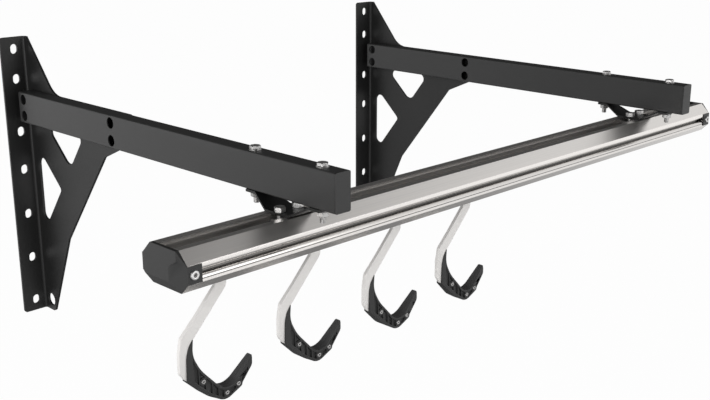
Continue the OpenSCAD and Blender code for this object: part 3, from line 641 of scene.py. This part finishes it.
@dataclass
class TurnedPieces:
    """Pieces turned about an axis, with hexagons and threads, repeated at their places."""

    name: str
    rows: Sequence[Row]
    places: Sequence[Place]
    across_flats: float
    pitch: float = THREAD_PITCH
    thread_depth: float = 0.0006
    segments: int = 48

    def build(self, material: bpy.types.Material) -> bpy.types.Object:
        """Runs the Geometry Nodes tree on the rows and places.

        Args:
            material: The finish, which the tree sets.

        Returns:
            One plain mesh object that holds all the pieces.
        """
        mesh = bpy.data.meshes.new(self.name)
        points = [(r.radius, 0.0, r.height) for r in self.rows] + [p.at for p in self.places]
        mesh.from_pydata(points, [], [])
        count, spare = len(self.rows), len(self.places)
        marks = {
            "hexed": [r.hexed for r in self.rows] + [0.0] * spare,
            "threaded": [r.threaded for r in self.rows] + [0.0] * spare,
            "is_place": [0.0] * count + [1.0] * spare,
        }
        for label, levels in marks.items():
            mesh.attributes.new(label, "FLOAT", "POINT").data.foreach_set("value", levels)
        turns = [0.0] * 3 * count + [math.radians(a) for p in self.places for a in p.turn]
        mesh.attributes.new("turn", "FLOAT_VECTOR", "POINT").data.foreach_set("vector", turns)
        work = shown(self.name + "_work", mesh)
        tree, sockets = self.tree()
        modifier = work.modifiers.new("turned", "NODES")
        modifier.node_group = tree
        values = {
            "Rows": count,
            "Segments": self.segments,
            "Across Flats": self.across_flats,
            "Pitch": self.pitch,
            "Thread Depth": self.thread_depth,
            "Finish": material,
        }
        for socket_name, value in values.items():
            modifier[sockets[socket_name]] = value
        piece = finished(work, self.name, material)
        settle(piece)
        return piece

    @staticmethod
    def tree() -> tuple[bpy.types.NodeTree, dict[str, str]]:
        """Makes the Geometry Nodes tree, or finds the one made before.

        Returns:
            The tree, and the identifier of each named input.
        """
        name = "turned_pieces"
        made = bpy.data.node_groups.get(name)
        if made is None:
            made = TurnedPieces._make_tree(name)
        items = made.interface.items_tree
        return made, {i.name: i.identifier for i in items if i.in_out == "INPUT"}

    @staticmethod
    def _make_tree(name: str) -> bpy.types.NodeTree:
        """Builds the tree: a grid is rolled round the axis, row by row, and repeated.

        Args:
            name: The tree's name.

        Returns:
            The tree.
        """
        tree = bpy.data.node_groups.new(name, "GeometryNodeTree")
        for label, kind in (
            ("Points", "NodeSocketGeometry"),
            ("Rows", "NodeSocketInt"),
            ("Segments", "NodeSocketInt"),
            ("Across Flats", "NodeSocketFloat"),
            ("Pitch", "NodeSocketFloat"),
            ("Thread Depth", "NodeSocketFloat"),
            ("Finish", "NodeSocketMaterial"),
        ):
            tree.interface.new_socket(label, in_out="INPUT", socket_type=kind)
        tree.interface.new_socket("Pieces", in_out="OUTPUT", socket_type="NodeSocketGeometry")
        graph = Graph(tree)
        given = graph.add("NodeGroupInput")
        labels = ("Rows", "Segments", "Across Flats", "Pitch", "Thread Depth")
        size = {label: graph.number(given, label) for label in labels}
        own_place = graph.add("GeometryNodeInputPosition").outputs[0]

        def stored(label: str, kind: str = "FLOAT") -> bpy.types.NodeSocket:
            """The socket of a named attribute."""
            node = graph.add("GeometryNodeInputNamedAttribute", {"data_type": kind}, {"Name": label})
            return node.outputs["Attribute"]

        split = graph.add(
            "GeometryNodeSeparateGeometry",
            {"domain": "POINT"},
            {"Geometry": given.outputs["Points"], "Selection": stored("is_place")},
        )
        grid = graph.add(
            "GeometryNodeMeshGrid",
            inputs={0: 1.0, 1: 1.0, 2: size["Segments"] + 1, 3: size["Rows"]},
        )
        where = graph.add("ShaderNodeSeparateXYZ", inputs={0: own_place})
        angle = (graph.number(where, 0) + 0.5) * math.tau
        row = ((graph.number(where, 1) + 0.5) * (size["Rows"] - 1)).math("ROUND") + 0.1

        def sampled(value: bpy.types.NodeSocket, kind: str) -> bpy.types.NodeSocket:
            """Reads a value of the profile's points at this row.

            Args:
                value: The value's socket.
                kind: Its data type.

            Returns:
                The socket of the value at this row.
            """
            node = graph.add(
                "GeometryNodeSampleIndex",
                {"data_type": kind, "domain": "POINT", "clamp": True},
                {"Geometry": split.outputs["Inverted"], "Value": value, "Index": row},
            )
            return node.outputs[0]

        profile = sampled(own_place, "FLOAT_VECTOR")
        spot = graph.add("ShaderNodeSeparateXYZ", inputs={0: profile})
        radius = graph.number(spot, 0)
        height = graph.number(spot, 2)
        hexed = Number(graph, sampled(stored("hexed"), "FLOAT"))
        threaded = Number(graph, sampled(stored("threaded"), "FLOAT"))
        sixth = math.pi / 3
        flat = size["Across Flats"] / 2 / (angle % sixth - sixth / 2).math("COSINE")
        shaped = radius + (radius.math("MINIMUM", flat) - radius) * hexed
        turn = (height / size["Pitch"] + angle / math.tau) % 1.0
        ridge = (turn * 2.0 - 1.0).math("ABSOLUTE")
        final = shaped - ridge * threaded * size["Thread Depth"]
        position = graph.add(
            "ShaderNodeCombineXYZ",
            inputs={0: final * angle.math("COSINE"), 1: final * angle.math("SINE"), 2: height},
        )
        rolled = graph.add(
            "GeometryNodeSetPosition",
            inputs={"Geometry": grid.outputs[0], "Position": position.outputs[0]},
        )
        closed = graph.add(
            "GeometryNodeMergeByDistance", inputs={"Geometry": rolled.outputs[0], "Distance": 2e-6}
        )
        turned = graph.add("FunctionNodeEulerToRotation", inputs={0: stored("turn", "FLOAT_VECTOR")})
        placed = graph.add(
            "GeometryNodeInstanceOnPoints",
            inputs={
                "Points": split.outputs["Selection"],
                "Instance": closed.outputs[0],
                "Rotation": turned.outputs[0],
            },
        )
        real = graph.add("GeometryNodeRealizeInstances", inputs={"Geometry": placed.outputs[0]})
        dressed = graph.add(
            "GeometryNodeSetMaterial",
            inputs={"Geometry": real.outputs[0], "Material": given.outputs["Finish"]},
        )
        graph.add("NodeGroupOutput", inputs={0: dressed.outputs[0]})
        return tree


# Fasteners


@dataclass
class Fasteners:
    """The profiles of the rack's screws and nuts, each with its seat at height 0."""

    across_flats: float = 0.013
    head_height: float = 0.0054
    nut_height: float = 0.0076
    flange_radius: float = 0.0083
    flange_height: float = 0.0016
    shank_radius: float = 0.004
    clearance: float = 0.00005
    pitch: float = THREAD_PITCH

    @property
    def corner(self) -> float:
        """Radius of the hexagon's corners."""
        return self.across_flats / 2 / math.cos(math.pi / 6)

    @property
    def chamfer_from(self) -> float:
        """Radius where the chamfer at a hexagon's end begins."""
        return self.across_flats * 0.47

    def chamfer(self, top: float, inward: int = 1) -> list[Row]:
        """Rows of the turned chamfer at a hexagon's end, from the face outwards.

        Args:
            top: Height of the end face.
            inward: 1 where the piece lies below the face, -1 where it lies above.

        Returns:
            The rows.
        """
        start, steps, slope = self.chamfer_from, 5, 0.5
        reach = [(self.corner - start) * i / steps for i in range(steps + 1)]
        return [Row(start + out, top - inward * out * slope, 1.0) for out in reach]

    def face(self, top: float) -> list[Row]:
        """Rows of a bolt head's dished face and its chamfer.

        Args:
            top: Height of the face's rim.

        Returns:
            The rows.
        """
        start, low = self.chamfer_from, top - 0.0005
        dish = [Row(0.0, low), Row(start * 0.62, low), Row(start * 0.72, top)]
        return dish + self.chamfer(top)

    def flange(self) -> list[Row]:
        """Rows of a bolt head's flange, from the hexagon down to the seat.

        Returns:
            The rows.
        """
        top = self.flange_height
        rim = self.flange_radius
        return [
            Row(self.corner, top + 0.0003, 1.0),
            Row(self.corner * 0.98, top - 0.0001),
            Row(rim - 0.0006, top * 0.55),
            Row(rim, top * 0.3),
            Row(rim, 0.0),
        ]

    def shank(self, length: float, thread: float) -> list[Row]:
        """Rows of a shank whose last part is threaded, from the seat to the tip.

        Args:
            length: The shank's length.
            thread: Length of the thread.

        Returns:
            The rows.
        """
        rows = [Row(self.shank_radius, 0.0), Row(self.shank_radius, -length + thread)]
        per_turn = 4
        count = int(thread / self.pitch * per_turn)
        for i in range(count):
            left = 1 - (i + 1) / (count + 1)
            rows.append(Row(self.shank_radius, -length + thread * left, 0.0, 1.0))
        return rows + [Row(self.shank_radius - 0.0007, -length), Row(0.0, -length)]

    def bolt(self, length: float, thread: float) -> list[Row]:
        """Rows of a flanged hexagon bolt.

        Args:
            length: Its shank's length.
            thread: The length of its thread.

        Returns:
            The rows.
        """
        return self.face(self.head_height) + self.flange() + self.shank(length, thread)

    def plain_bolt(self, head: float, length: float) -> list[Row]:
        """Rows of a hexagon bolt without a flange.

        Args:
            head: Its head's height.
            length: Its shank's length.

        Returns:
            The rows.
        """
        washer = self.across_flats * 0.48
        foot = [Row(self.corner, 0.0004, 1.0), Row(washer, 0.0004), Row(washer, 0.0)]
        return self.face(head) + foot + self.shank(length, length * 0.7)

    def nut(self) -> list[Row]:
        """Rows of a flanged nut, closed round its bore.

        Returns:
            The rows.
        """
        bore = self.shank_radius + self.clearance
        low = -self.nut_height
        mouth = Row(bore, low + 0.0005)
        foot = [Row(row.radius, -row.height, row.hexed) for row in self.flange()]
        end = [mouth, Row(bore + 0.0005, low)] + self.chamfer(low, -1)
        return end + foot + [Row(bore, 0.0), mouth]

    @staticmethod
    def button(head_radius: float, head: float, radius: float, length: float) -> list[Row]:
        """Rows of a flat button screw with a rounded rim and a hexagon socket.

        Args:
            head_radius: The head's radius.
            head: The head's height.
            radius: The shank's radius.
            length: The shank's length.

        Returns:
            The rows.
        """
        deep = -head * 0.5
        rim = head * 0.55
        wide = 0.02  # beyond the socket's hexagon, which cuts it
        rows = [Row(0.0, deep), Row(wide, deep, 1.0), Row(wide, head - 0.0002, 1.0)]
        rows.append(Row(head_radius * 0.5, head))
        for degrees in (90, 60, 30, 0):
            lean = math.radians(degrees)
            inward, down = rim * (1 - math.cos(lean)), rim * (1 - math.sin(lean))
            rows.append(Row(head_radius - inward, head - down))
        rows += [Row(head_radius, 0.0), Row(radius, 0.0), Row(radius, -length + 0.0006)]
        return rows + [Row(radius - 0.0006, -length), Row(0.0, -length)]

    @staticmethod
    def low_dome(radius: float, height: float) -> list[Row]:
        """Rows of a plain low head with a rounded rim.

        Args:
            radius: The head's radius.
            height: The head's height.

        Returns:
            The rows.
        """
        return [
            Row(0.0, height),
            Row(radius * 0.5, height),
            Row(radius * 0.86, height * 0.82),
            Row(radius, height * 0.35),
            Row(radius, 0.0),
            Row(0.0, 0.0),
        ]


# Sub-assemblies


def carry(piece: bpy.types.Object, body: str, slot: str, *nodes: str) -> None:
    """Puts a finished piece on its body, in place of its CAD nodes.

    Args:
        piece: The finished piece.
        body: The CAD body that it moves with.
        slot: A material slot's name; not used.
        nodes: The CAD nodes that it stands for.
    """
    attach(piece, body)
    if nodes:
        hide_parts(*nodes)
    log.info("%s on %s", piece.name, body)


def turned_set(
    name: str,
    rows: Sequence[Row],
    places: Sequence[Place],
    across_flats: float,
    node: str,
    material: bpy.types.Material,
) -> None:
    """Makes one set of turned pieces on the rack, in place of its CAD node.

    Args:
        name: The set's name.
        rows: The profile.
        places: Where each piece stands.
        across_flats: Size of the hexagon.
        node: The CAD node.
        material: The set's finish.
    """
    carry(TurnedPieces(name, rows, places, across_flats).build(material), "rack", "zinc", node)


def dress(node: str, material: bpy.types.Material) -> None:
    """Gives a CAD node that stays in view its finish.

    Args:
        node: The CAD node.
        material: The finish.
    """
    mesh_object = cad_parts[node]
    if not mesh_object.material_slots:
        mesh_object.data.materials.append(material)
    for slot in mesh_object.material_slots:
        slot.material = material
    log.info("%s dressed", node)


@dataclass
class WallBracket:
    """A wall bracket with its arm, plug, bolts and nuts."""

    side: Side
    finishes: Finishes
    web_x: float = 0.0185
    sheet: float = 0.004
    tube_wall: float = 0.002
    thread: float = 0.01
    proud: float = 0.002
    bolt_at: tuple[float, float] = (0.0335, 0.2893)
    bolt_heights: tuple[float, float] = (0.112, 0.1384)
    fasteners: Fasteners = field(default_factory=Fasteners)

    def build(self) -> None:
        """Makes the bracket, the arm, its plug and their fasteners."""
        word = self.side.word
        bracket = softened(f"bracket_{word}", f"wall_bracket_{word}", self.finishes.coat, 0.0005)
        carry(bracket, "rack", "coat", f"bracket_{word}")
        arm = softened(f"arm_{word}", f"arm_tube_{word}", self.finishes.tube_coat, 0.0003)
        carry(arm, "rack", "coat", f"arm_{word}")
        plug = softened(f"arm_plug_{word}", f"arm_end_plug_{word}", self.finishes.cap, 0.0005)
        carry(plug, "rack", "moulded", f"arm_plug_{word}")
        web = self.side.value + self.web_x
        bolt = self.fasteners.bolt(
            self.tube_wall + self.sheet + self.fasteners.nut_height + self.proud, self.thread
        )
        flats, zinc = self.fasteners.across_flats, self.finishes.zinc
        nut = self.fasteners.nut()
        heads, seats = self.places(web - self.tube_wall), self.places(web + self.sheet)
        turned_set(f"arm_bolt_set_{word}", bolt, heads, flats, f"arm_bolts_{word}", zinc)
        turned_set(f"arm_nut_set_{word}", nut, seats, flats, f"arm_nuts_{word}", zinc)

    def places(self, x: float) -> list[Place]:
        """The four bolt places at a distance along the wall, with the heads to the left."""
        return [Place((x, -d, z), (0.0, -90.0, 0.0)) for d in self.bolt_at for z in self.bolt_heights]


@dataclass
class Hangers:
    """The two straps under the arms, with their bolts, nuts and clamps."""

    finishes: Finishes
    arm_x: float = 0.006
    rail_y: float = RAIL_Y
    arm_top: float = 0.1502
    arm_height: float = 0.05
    strap: float = 0.0035
    rail_top: float = 0.0813
    rail_lips: float = 0.0059
    clamp_plate: float = 0.0052
    bolt_pitch: float = 0.123
    bolt_turn: float = 17.0
    thread: float = 0.022
    proud: float = 0.008
    clamp_pitch: float = 0.029
    clamp_head: float = 0.0066
    fasteners: Fasteners = field(default_factory=Fasteners)

    def build(self) -> None:
        """Makes the straps and everything that is bolted through them."""
        for side in Side:
            node = f"hanger_{side.word}"
            strap = softened(node, f"hanger_strap_{side.word}", self.finishes.strap_coat)
            carry(strap, "rack", "coat", node)
        kit, zinc, steel = self.fasteners, self.finishes.zinc, self.finishes.steel
        flats = kit.across_flats
        length = self.arm_height + self.strap + kit.nut_height + self.proud
        heads = self.along_arm(self.arm_top)
        seats = self.along_arm(self.arm_top - self.arm_height - self.strap)
        turned_set("hanger_bolt_set", kit.bolt(length, self.thread), heads, flats, "hanger_bolts", zinc)
        # painted shade: the nuts under the arms take the darker copy of the zinc
        turned_set("hanger_nut_set", kit.nut(), seats, flats, "hanger_nuts", steel)
        clamp = kit.plain_bolt(self.clamp_head, self.strap + self.rail_lips + self.clamp_plate)
        turned_set("clamp_bolt_set", clamp, self.along_rail(), flats, "clamp_bolts", zinc)
        dress("clamp_plates", steel)

    def along_arm(self, z: float) -> list[Place]:
        """The upright bolts' places at one height.

        Args:
            z: The height.

        Returns:
            The places, two under each arm.
        """
        return [
            Place(
                (side.value + self.arm_x, self.rail_y + s * self.bolt_pitch / 2, z),
                (0.0, 0.0, self.bolt_turn * s),
            )
            for side in Side
            for s in (-1, 1)
        ]

    def along_rail(self) -> list[Place]:
        """The clamp bolts' places on the straps' feet.

        Returns:
            The places, two on each foot.
        """
        z = self.rail_top + self.strap
        return [
            Place((side.value + self.arm_x + s * self.clamp_pitch / 2, self.rail_y, z))
            for side in Side
            for s in (-1, 1)
        ]


@dataclass
class Rail:
    """The extruded rail with its two end caps and their screws."""

    finishes: Finishes
    centre: float = RAIL_Y
    half_width: float = 0.0393
    ends: tuple[float, float] = (-0.1774, 1.0188)
    screw_in: float = 0.008
    tab: float = 0.0014
    groove_height: float = GROOVE_Z
    head_radius: float = 0.0058
    head_height: float = 0.0026
    shank_radius: float = 0.0025
    shank_length: float = 0.0154

    def build(self) -> None:
        """Makes the rail, its caps and the cap screws."""
        carry(softened("rail", "rail_extrusion", self.finishes.alloy, 0.0003), "rack", "alloy", "rail")
        for side in Side:
            cap = softened(f"rail_cap_{side.word}", f"end_cap_{side.word}", self.finishes.cap, 0.0007)
            carry(cap, "rack", "moulded", f"rail_cap_{side.word}")
        out = self.half_width + self.tab
        places = [
            Place((x, self.centre + s * out, self.groove_height), (s * -90.0, 0.0, 0.0))
            for x in (self.ends[0] + self.screw_in, self.ends[1] - self.screw_in)
            for s in (-1, 1)
        ]
        screw = Fasteners.button(
            self.head_radius, self.head_height, self.shank_radius, self.shank_length
        )
        socket = self.head_radius * 0.8
        turned_set("cap_screw_set", screw, places, socket, "cap_screws", self.finishes.zinc)


@dataclass
class Hook:
    """One trolley with its wheels, swivel pin, hook plate and cradle."""

    number: int
    finishes: Finishes
    first_x: float = -0.104
    step: float = 0.1524
    centre: float = RAIL_Y
    bowl: float = -0.1147
    screws_at: tuple[Triple, ...] = (
        (-0.035, 0.0186, 0.00617),
        (-0.0017, -0.0064, 0.0075),
        (0.0162, -0.0006, 0.00727),
    )
    head_radius: float = 0.0032
    head_height: float = 0.002
    shank_radius: float = 0.002
    tip_at: tuple[float, float] = (0.0419, 0.0294)
    tip_radius: float = 0.0056
    tip_flat: float = 0.0002
    # which faces of the bed take the painted light: facing up, not sideways, and inwards
    bed_rise: float = 0.15
    bed_side: float = 0.93
    bed_past: float = 0.001

    @property
    def x(self) -> float:
        """The swivel axis's place along the wall."""
        return self.first_x + (self.number - 1) * self.step

    def build(self) -> None:
        """Makes the visible pieces and dresses the hidden ones."""
        k = self.number
        dress(f"trolley_{k}", self.finishes.strap_coat)
        dress(f"axles_{k}", self.finishes.zinc)
        dress(f"wheels_front_{k}", self.finishes.nylon)
        dress(f"wheels_rear_{k}", self.finishes.nylon)
        body = f"hook_{k}"
        pin = softened(f"swivel_pin_{k}", f"swivel_pin_turned_{k}", self.finishes.zinc, 0.0003)
        carry(pin, body, "zinc", f"swivel_pin_{k}")
        plate = softened(f"hook_plate_{k}", f"hook_plate_bent_{k}", self.finishes.paint, 0.0005)
        carry(plate, body, "plate_paint", f"hook_plate_{k}")
        for half in Half:
            cradle = softened(
                f"cradle_{half.value}_{k}",
                f"cradle_half_{half.value}_{k}",
                self.finishes.cradle,
                0.0005,
                shape=self.round_tip,
                clamp=False,
            )
            self.paint_lit_bed(cradle)
            carry(cradle, body, "moulded", f"cradle_{half.value}_{k}")
        self.screws(body)

    def paint_lit_bed(self, cradle: bpy.types.Object) -> None:
        """Gives the up-facing faces of the bed that the wheel lies in a paler copy of the cradle
        plastic, as painted light.

        Args:
            cradle: The cradle half.
        """
        mesh = cradle.data
        mesh.materials.append(self.finishes.bed)
        for face in mesh.polygons:
            normal = face.normal
            inward = (self.x - face.center.x) * normal.x
            level = normal.z > self.bed_rise and abs(normal.y) < self.bed_side
            if level and inward >= -self.bed_past:
                face.material_index = 1

    def round_tip(self, work: bmesh.types.BMesh) -> None:
        """Rounds the corners of the horn's tip, which stand square in the CAD half.

        Args:
            work: The half's mesh.
        """
        along = Vector((1.0, 0.0, 1.0)).normalized()
        tip = Vector((self.x + self.tip_at[0], self.centre, self.bowl + self.tip_at[1]))
        end = [v for v in work.verts if (tip - v.co).dot(along) < self.tip_radius]
        wide = max(abs(v.co.y - self.centre) for v in end)
        radius = min(self.tip_radius, wide - self.tip_flat)
        steps = 8
        for step in range(1, steps + 1):
            cut = tip - along * (radius * (1 - math.cos(math.pi / 2 * step / steps)))
            geometry = [*work.verts, *work.edges, *work.faces]
            bmesh.ops.bisect_plane(work, geom=geometry, plane_co=cut, plane_no=along, dist=1e-7)
        near = [v for v in work.verts if (tip - v.co).dot(along) < radius]
        for vert in near:
            depth = max((tip - vert.co).dot(along), 0.0)
            limit = wide - radius + math.sqrt(radius**2 - (radius - depth) ** 2)
            out = vert.co.y - self.centre
            vert.co.y = self.centre + max(-limit, min(limit, out))

    def screws(self, body: str) -> None:
        """Makes the cradle's screws, each with a socket head in front and a low head behind.

        Args:
            body: The CAD body that they move with.
        """
        work = bmesh.new()
        socket = self.head_radius * 0.6
        for x, z, seat in self.screws_at:
            for away, turn in ((-seat, 90.0), (seat, -90.0)):
                place = Place((self.x + x, self.centre + away, self.bowl + z), (turn, 0.0, 0.0))
                if turn > 0:
                    rows = Fasteners.button(
                        self.head_radius, self.head_height, self.shank_radius, 2 * seat
                    )
                else:
                    rows = Fasteners.low_dome(self.head_radius, self.head_height / 2)
                pieces = TurnedPieces("screw_part", rows, [place], socket)
                part = pieces.build(self.finishes.steel)
                work.from_mesh(part.data)
                bpy.data.objects.remove(part)
        mesh = bpy.data.meshes.new("cradle_screw_set")
        work.to_mesh(mesh)
        work.free()
        mesh.materials.append(self.finishes.steel)
        piece = shown(f"cradle_screw_set_{self.number}", mesh)
        settle(piece)
        carry(piece, body, "zinc", f"cradle_screws_{self.number}")


# Studio


@dataclass
class Studio:
    """The pale floor, the soft lamps and the camera."""

    floor_height: float = -1.5
    floor_reach: float = 60.0
    floor_tone: float = 0.86
    floor_shine: float = 0.975
    camera_at: Triple = (-0.8095, -1.5928, 0.4551)
    camera_turn: Triple = (73.78, 0.0, -45.09)
    lens: float = 52.96
    centre: Triple = (0.42, -0.45, 0.03)
    # painted shade: in reflections the floor glows dimmer within these distances of the rack
    painted_shade_pool: tuple[float, float] = (1.0, 4.8)
    painted_shade_level: float = 0.22
    ceiling: float = 0.055
    fill: float = 0.29
    glow: float = 0.9
    glow_at: Triple = (0.85, -0.45, 0.27)
    glow_span: tuple[float, float] = (0.77, 0.96)

    def build(self) -> None:
        """Makes the stage, the lamps and the camera."""
        self.floor()
        self.world()
        self.lamp("left_softbox", (-3.2, -1.2, 0.9), size=2.4, power=72.0)
        self.lamp("back_left_softbox", (-2.2, 2.6, 0.9), size=2.4, power=24.0)
        self.lamp("front_softbox", (1.0, -3.8, 0.4), size=2.8, power=38.0)
        self.camera()

    @staticmethod
    def ray_kinds(graph: Graph) -> tuple[Number, Number]:
        """Tells the camera's rays from those of reflections and transmissions.

        Args:
            graph: The graph that asks.

        Returns:
            1 for the camera's rays, and 1 for reflections and transmissions, else 0.
        """
        rays = graph.add("ShaderNodeLightPath")
        through = graph.number(rays, "Is Transmission Ray")
        glossy = graph.number(rays, "Is Glossy Ray").math("MAXIMUM", through)
        return graph.number(rays, "Is Camera Ray"), glossy

    def floor(self) -> None:
        """Makes the plain pale floor, which keeps the shadows; in reflections its glow has a painted
        pool of shade under the rack.
        """
        mesh = bpy.data.meshes.new("floor")
        reach, z = self.floor_reach, self.floor_height
        corners = [(-reach, -reach, z), (reach, -reach, z), (reach, reach, z), (-reach, reach, z)]
        mesh.from_pydata(corners, [], [(0, 1, 2, 3)])
        floor = shown("floor", mesh)
        material = bpy.data.materials.new("pale_floor")
        graph = Graph.fresh(material)
        camera, glossy = self.ray_kinds(graph)
        points = {0: graph.place(), 1: (self.centre[0], self.centre[1], z)}
        # painted shade: reflections see the floor's glow dim in a pool under the rack, the camera sees
        # it white
        gap = graph.add("ShaderNodeVectorMath", {"operation": "DISTANCE"}, points)
        away = graph.rise(graph.number(gap, "Value"), *self.painted_shade_pool)
        painted_shade_glow = graph.blend(away, grey(self.painted_shade_level), grey(1.0))
        colour = graph.blend(camera, painted_shade_glow, grey(1.0))
        paint = graph.add("ShaderNodeBsdfDiffuse", inputs={"Color": grey(self.floor_tone)})
        glow = graph.add("ShaderNodeEmission", inputs={"Color": colour, "Strength": 1.0})
        share = camera.math("MAXIMUM", glossy) * self.floor_shine
        shaders = {0: share, 1: paint.outputs[0], 2: glow.outputs[0]}
        mix = graph.add("ShaderNodeMixShader", inputs=shaders)
        graph.add("ShaderNodeOutputMaterial", inputs={"Surface": mix.outputs[0]})
        mesh.materials.append(material)

    def world(self) -> None:
        """Makes the surroundings: an even fill, and for reflections a bright side and a dim rest."""
        world = bpy.data.worlds.new("studio")
        graph = Graph.fresh(world)
        toward = graph.add("ShaderNodeTexCoord").outputs["Generated"]
        sides = {0: toward, 1: self.glow_at}
        facing = graph.add("ShaderNodeVectorMath", {"operation": "DOT_PRODUCT"}, sides)
        glow = graph.rise(graph.number(facing, "Value"), *self.glow_span)
        camera, glossy = self.ray_kinds(graph)
        level = self.fill + glow * (self.glow - self.fill)
        level = level + (self.ceiling - self.fill) * (1.0 - glow) * glossy
        level = level + (1.0 - level) * camera
        white = graph.add("ShaderNodeBackground", inputs={"Color": grey(1.0), "Strength": level})
        graph.add("ShaderNodeOutputWorld", inputs={"Surface": white.outputs[0]})
        bpy.context.scene.world = world

    def lamp(self, name: str, at: Triple, size: float, power: float) -> None:
        """Adds a soft square lamp that faces the rack.

        Args:
            name: The lamp's name.
            at: Its place.
            size: Its side in metres.
            power: Its power in watts.
        """
        data = bpy.data.lights.new(name, "AREA")
        data.shape = "SQUARE"
        data.size = size
        data.energy = power
        lamp = shown(name, data)
        lamp.location = at
        lamp.rotation_euler = (Vector(self.centre) - Vector(at)).to_track_quat("-Z", "Y").to_euler()

    def camera(self) -> None:
        """Sets the camera at the photograph's viewpoint."""
        data = bpy.data.cameras.new("camera")
        data.lens = self.lens
        data.sensor_width = 36.0
        data.clip_end = 200.0
        camera = shown("camera", data)
        camera.location = self.camera_at
        camera.rotation_euler = tuple(math.radians(a) for a in self.camera_turn)
        bpy.context.scene.camera = camera
        bpy.context.scene.view_settings.view_transform = "Standard"


def main() -> None:
    """Builds the rack in order, from the wall outwards."""
    logging.basicConfig(level=logging.INFO, format="%(message)s")
    Studio().build()
    finishes = Finishes()
    for side in Side:
        WallBracket(side, finishes).build()
    Hangers(finishes).build()
    Rail(finishes).build()
    for number in range(1, HOOKS + 1):
        Hook(number, finishes).build()


if __name__ == "__main__":
    main()
